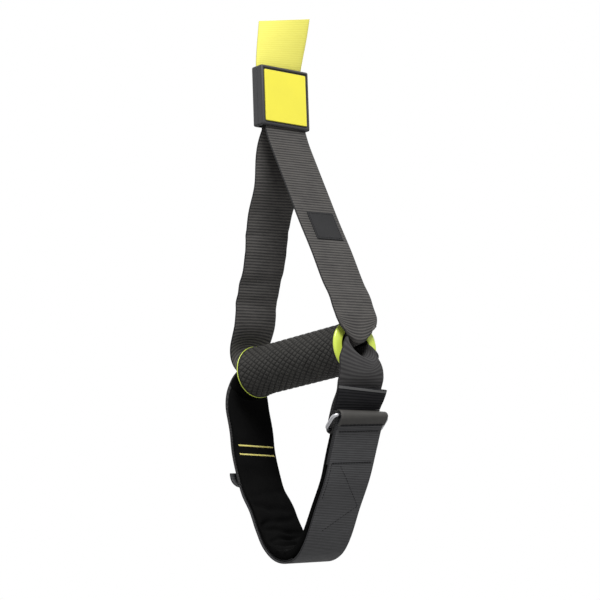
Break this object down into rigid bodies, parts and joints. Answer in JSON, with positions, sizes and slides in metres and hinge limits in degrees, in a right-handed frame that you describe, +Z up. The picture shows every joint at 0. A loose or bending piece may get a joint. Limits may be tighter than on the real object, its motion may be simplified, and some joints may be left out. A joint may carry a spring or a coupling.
{
  "type": "suspension trainer handle",
  "caption": "Hanging training handle: webbing triangle through a flanged foam grip, with a badge at the strap's end and an adjustable padded foot loop below.",
  "frame": {"origin": "centre of the main strap's cut upper end, from which the handle hangs", "axes": "+Z up along the strap, +X along the grip towards the adjusting ring's side, +Y across the webbing"},
  "size_m": [0.1402, 0.0472, 0.3949],
  "materials": {
    "yellow_webbing": "plain woven polyester webbing",
    "black_plastic": "moulded, satin",
    "yellow_plastic": "smooth soft PVC",
    "charcoal_webbing": "ribbed nylon webbing",
    "black_thread": "bonded thread",
    "label_cloth": "woven satin label, blank",
    "aluminium_tube": "drawn tube",
    "rubber_sleeve": "moulded scale texture",
    "lime_plastic": "moulded, glossy",
    "steel_wire": "plated bent wire",
    "strap_webbing": "flat woven webbing",
    "hook_tape": "hook fastener tape",
    "black_fleece": "brushed fleece over foam",
    "yellow_thread": "bonded thread"
  },
  "bodies": {
    "strap": {"main_strap": "yellow_webbing"},
    "yoke": {"badge_front_shell": "black_plastic", "badge_rear_shell": "black_plastic", "badge_plate": "yellow_plastic", "strap_sewn_end": "yellow_webbing", "yoke_webbing": "charcoal_webbing", "sewn_joint_thread_front": "black_thread", "sewn_joint_thread_rear": "black_thread", "woven_label": "label_cloth"},
    "grip": {"core_tube": "aluminium_tube", "grip_sleeve": "rubber_sleeve", "flange_near": "lime_plastic", "flange_far": "lime_plastic"},
    "cradle": {"cradle_webbing": "charcoal_webbing", "hanger_hook_tape": "hook_tape", "cradle_pad": "black_fleece", "bar_tack_upper": "yellow_thread", "bar_tack_lower": "yellow_thread", "adjust_strap": "strap_webbing", "strap_hook_tape": "hook_tape", "strap_seam_upper": "black_thread", "strap_seam_lower": "black_thread"},
    "ring": {"slide_ring": "steel_wire"},
    "tab": {"pull_tab": "charcoal_webbing"},
    "tail": {"strap_tail": "strap_webbing"}
  },
  "joints": [
    {"name": "strap_flex", "type": "hinge", "parent": "strap", "child": "yoke", "pos_m": [-0.012, 0, -0.0348], "axis": [0, 1, 0], "range_deg": [-35, 35]},
    {"name": "grip_spin", "type": "hinge", "parent": "yoke", "child": "grip", "pos_m": [-0.012, 0, -0.251], "axis": [1, 0, 0], "continuous": true},
    {"name": "cradle_swing", "type": "hinge", "parent": "yoke", "child": "cradle", "pos_m": [-0.012, 0, -0.251], "axis": [1, 0, 0], "range_deg": [-60, 60]},
    {"name": "ring_rock", "type": "hinge", "parent": "cradle", "child": "ring", "pos_m": [0.03269, 0, -0.30719], "axis": [0.1392, 0.9903, 0], "range_deg": [-5, 5]},
    {"name": "tab_peel", "type": "hinge", "parent": "cradle", "child": "tab", "pos_m": [0.04072, 0, -0.29456], "axis": [0.1392, 0.9903, 0], "range_deg": [0, 60]},
    {"name": "tail_peel", "type": "hinge", "parent": "cradle", "child": "tail", "pos_m": [-0.07643, 0, -0.33614], "axis": [0, -1, 0], "range_deg": [-5, 60]}
  ]
}
